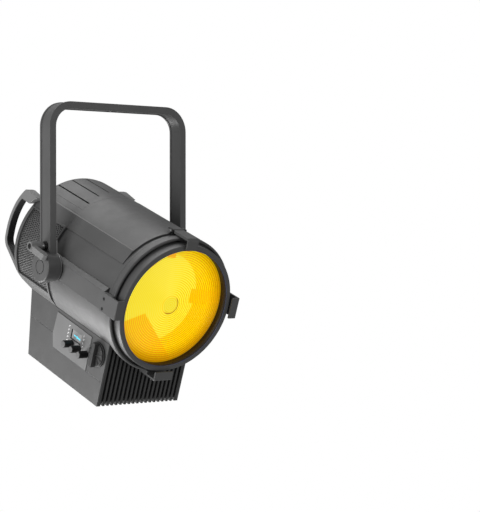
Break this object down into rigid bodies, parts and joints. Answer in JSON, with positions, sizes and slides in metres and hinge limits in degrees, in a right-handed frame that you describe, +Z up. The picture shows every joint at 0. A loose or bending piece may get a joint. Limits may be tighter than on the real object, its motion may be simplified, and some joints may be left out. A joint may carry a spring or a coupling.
{
  "type": "stage spotlight",
  "caption": "Hanging LED stage spotlight with a round ribbed lens, U yoke, slung driver box and side control panel.",
  "frame": {"origin": "centre of the yoke's hanging hole, on the top face of its bar", "axes": "+Z up out of the hanging hole, +X along the tilt pivot away from the control panel, -Y the way the lens faces"},
  "size_m": [0.324, 0.4085, 0.5075],
  "materials": {
    "black_paint": "fine matt powder coat",
    "black_anodised": "black anodised",
    "grille_paint": "matt",
    "panel_grey": "satin",
    "steel": "brushed",
    "black_steel": "blackened",
    "friction_pad": "fibre",
    "cast_alloy": "cast",
    "bare_aluminium": "milled",
    "black_plastic": "matt",
    "lens_glass": "ribbed, lit amber",
    "display_glass": "gloss",
    "circuit_board": "solder mask",
    "lamp_module": "phosphor",
    "mirror_metal": "polished",
    "rack_plastic": "acetal",
    "blue_plastic": "moulded",
    "socket_metal": "black nickel"
  },
  "bodies": {
    "yoke": {"yoke": "black_paint", "knuckle_left": "black_paint", "knuckle_right": "black_paint", "knuckle_plugs": "black_paint", "brake_plate": "steel", "friction_washers": "friction_pad", "clamp_washers": "black_steel"},
    "clamp": {"clamp_stud": "steel", "clamp_lever": "black_paint", "clamp_screw": "black_steel"},
    "head": {"pivot_bolts": "steel", "barrel": "black_paint", "top_cover": "black_paint", "side_rail_left": "black_paint", "side_rail_right": "black_paint", "rear_cap": "black_paint", "vent_cover": "black_paint", "rear_plate": "black_paint", "grille_left": "grille_paint", "grille_right": "grille_paint", "rear_handle_left": "black_paint", "rear_handle_right": "black_paint", "fan_frame": "black_plastic", "fan_guard": "steel", "front_ring": "black_paint", "lens_lip": "black_paint", "fresnel_lens": "lens_glass", "bracket_left": "black_paint", "bracket_right": "black_paint", "bracket_bottom": "black_paint", "bracket_screws": "black_steel", "latch_base": "steel", "latch_pin": "steel", "rod_rings": "cast_alloy", "guide_rods": "steel", "case_upper": "black_paint", "case_lower": "black_paint", "front_heatsink": "black_anodised", "control_panel": "panel_grey", "display_screen": "display_glass", "control_board": "circuit_board", "status_window": "black_plastic", "power_supply": "steel", "power_sockets": "blue_plastic", "data_sockets": "socket_metal"},
    "fan": {"fan_rotor": "black_plastic"},
    "latch": {"latch_arm": "black_paint"},
    "carriage": {"carriage_plate": "cast_alloy", "heat_sink": "bare_aluminium", "led_module": "lamp_module", "reflector_cup": "mirror_metal", "zoom_rack": "rack_plastic"},
    "dial": {"zoom_shaft": "steel", "zoom_dial": "black_plastic"},
    "encoder_1_plunger": {"encoder_shaft_1": "steel"},
    "encoder_2_plunger": {"encoder_shaft_2": "steel"},
    "encoder_3_plunger": {"encoder_shaft_3": "steel"},
    "encoder_1_knob": {"encoder_knob_1": "black_plastic"},
    "encoder_2_knob": {"encoder_knob_2": "black_plastic"},
    "encoder_3_knob": {"encoder_knob_3": "black_plastic"}
  },
  "joints": [
    {"name": "head_tilt", "type": "hinge", "parent": "yoke", "child": "head", "pos_m": [0, 0, -0.276], "axis": [1, 0, 0], "range_deg": [-110, 70]},
    {"name": "clamp_turn", "type": "hinge", "parent": "yoke", "child": "clamp", "pos_m": [-0.16, 0, -0.2415], "axis": [1, 0, 0], "range_deg": [-120, 60]},
    {"name": "latch_lift", "type": "hinge", "parent": "head", "child": "latch", "pos_m": [0, -0.17748, -0.21673], "axis": [1, 0, 0], "range_deg": [-95, 0], "stiffness_Nm_per_rad": 0.08, "springref_deg": 34.38},
    {"name": "zoom_slide", "type": "slide", "parent": "head", "child": "carriage", "axis": [0, -0.9397, -0.342], "range_m": [-0.016, 0.016]},
    {"name": "zoom_turn", "type": "hinge", "parent": "head", "child": "dial", "pos_m": [-0.084, -0.0707, -0.42092], "axis": [1, 0, 0], "range_deg": [-87.4, 87.4]},
    {"name": "fan_spin", "type": "hinge", "parent": "head", "child": "fan", "pos_m": [0, 0.11729, -0.23863], "axis": [0, -0.9397, -0.342], "continuous": true},
    {"name": "encoder_1_push", "type": "slide", "parent": "head", "child": "encoder_1_plunger", "axis": [1, 0, 0], "range_m": [0, 0.0005], "stiffness_N_per_m": 1500},
    {"name": "encoder_1_turn", "type": "hinge", "parent": "encoder_1_plunger", "child": "encoder_1_knob", "pos_m": [-0.095, 0.00521, -0.40638], "axis": [1, 0, 0], "continuous": true},
    {"name": "encoder_2_push", "type": "slide", "parent": "head", "child": "encoder_2_plunger", "axis": [1, 0, 0], "range_m": [0, 0.0005], "stiffness_N_per_m": 1500},
    {"name": "encoder_2_turn", "type": "hinge", "parent": "encoder_2_plunger", "child": "encoder_2_knob", "pos_m": [-0.095, -0.01659, -0.41432], "axis": [1, 0, 0], "continuous": true},
    {"name": "encoder_3_push", "type": "slide", "parent": "head", "child": "encoder_3_plunger", "axis": [1, 0, 0], "range_m": [0, 0.0005], "stiffness_N_per_m": 1500},
    {"name": "encoder_3_turn", "type": "hinge", "parent": "encoder_3_plunger", "child": "encoder_3_knob", "pos_m": [-0.095, -0.03839, -0.42225], "axis": [1, 0, 0], "continuous": true}
  ],
  "couplings": [
    {"joint": "zoom_turn", "follows": "zoom_slide", "rad_per_m": 95.238}
  ]
}
